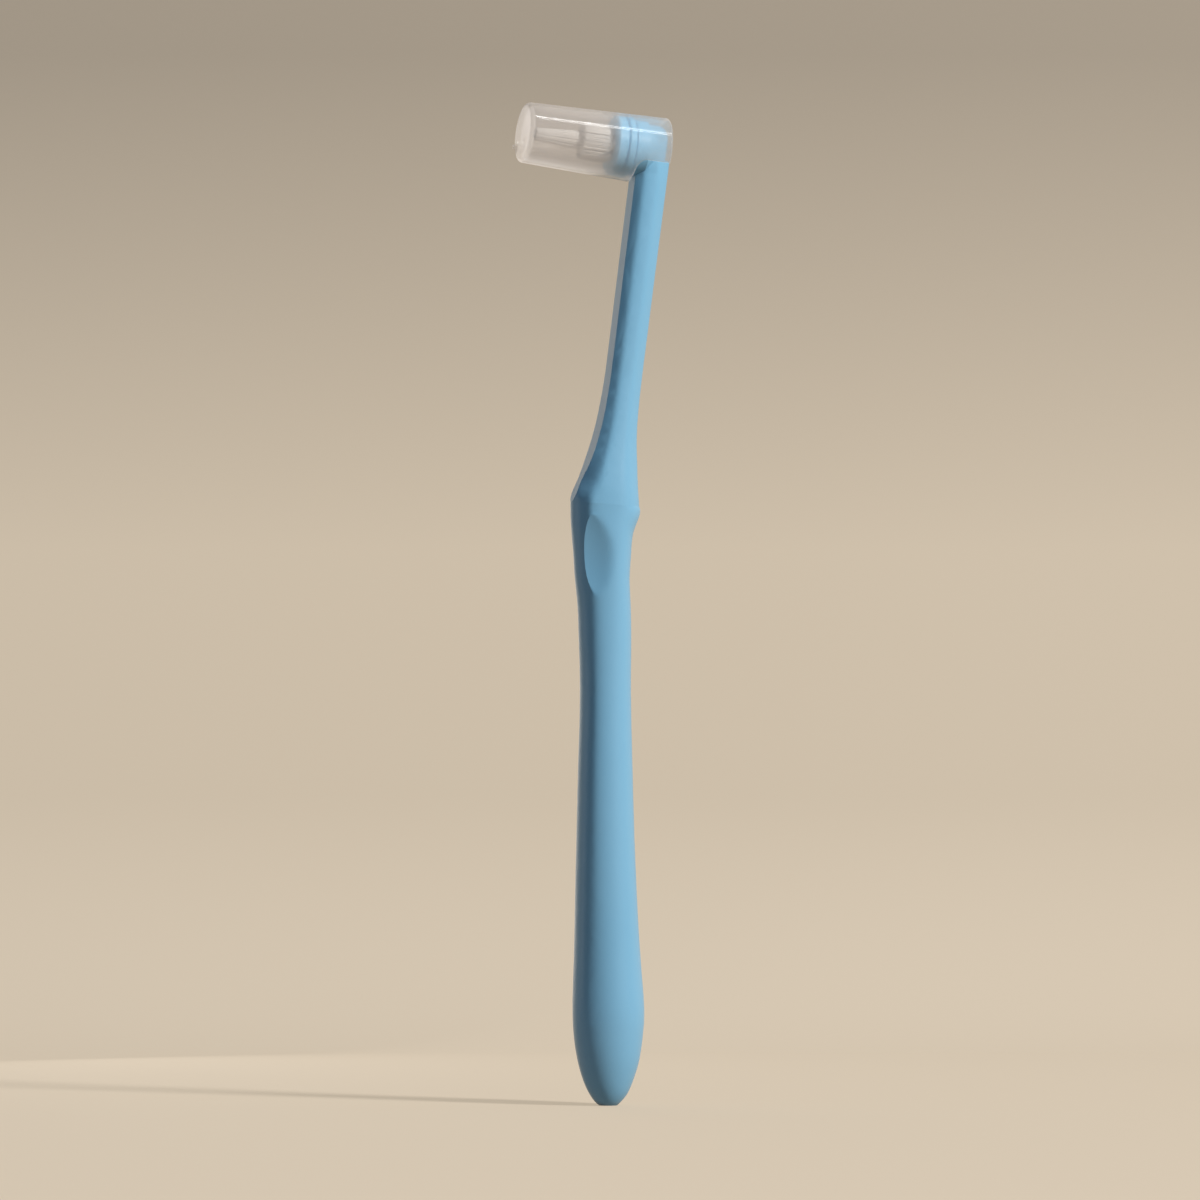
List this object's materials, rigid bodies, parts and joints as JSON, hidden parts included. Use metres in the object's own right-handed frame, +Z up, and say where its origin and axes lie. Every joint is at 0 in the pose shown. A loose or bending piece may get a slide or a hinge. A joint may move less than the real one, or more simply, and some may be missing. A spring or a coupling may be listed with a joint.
{
  "type": "manual toothbrush",
  "caption": "End-tuft manual toothbrush with a waisted one-piece handle, a bevelled neck, a side-facing round tuft head and a translucent slide-on cap.",
  "frame": {"origin": "centre of the flat foot at the butt end of the handle", "axes": "+Z up along the grip, -X the way the tuft head points, Y across the handle, which is symmetric about y = 0"},
  "size_m": [0.0276, 0.0126, 0.1776],
  "materials": {
    "handle": "satin",
    "cap": "frosted translucent",
    "bristle": "fine nylon filaments",
    "anchor": "plain"
  },
  "bodies": {
    "brush": {"handle": "handle", "center_tuft": "bristle", "outer_tuft_1": "bristle", "outer_tuft_2": "bristle", "outer_tuft_3": "bristle", "outer_tuft_4": "bristle", "outer_tuft_5": "bristle", "outer_tuft_6": "bristle", "center_anchor": "anchor", "outer_anchor_1": "anchor", "outer_anchor_2": "anchor", "outer_anchor_3": "anchor", "outer_anchor_4": "anchor", "outer_anchor_5": "anchor", "outer_anchor_6": "anchor"},
    "cap_body": {"cap": "cap"}
  },
  "joints": [
    {"name": "cap_slide", "type": "slide", "parent": "brush", "child": "cap_body", "axis": [-0.9917, 0, 0.1288], "range_m": [0, 0.03]}
  ]
}
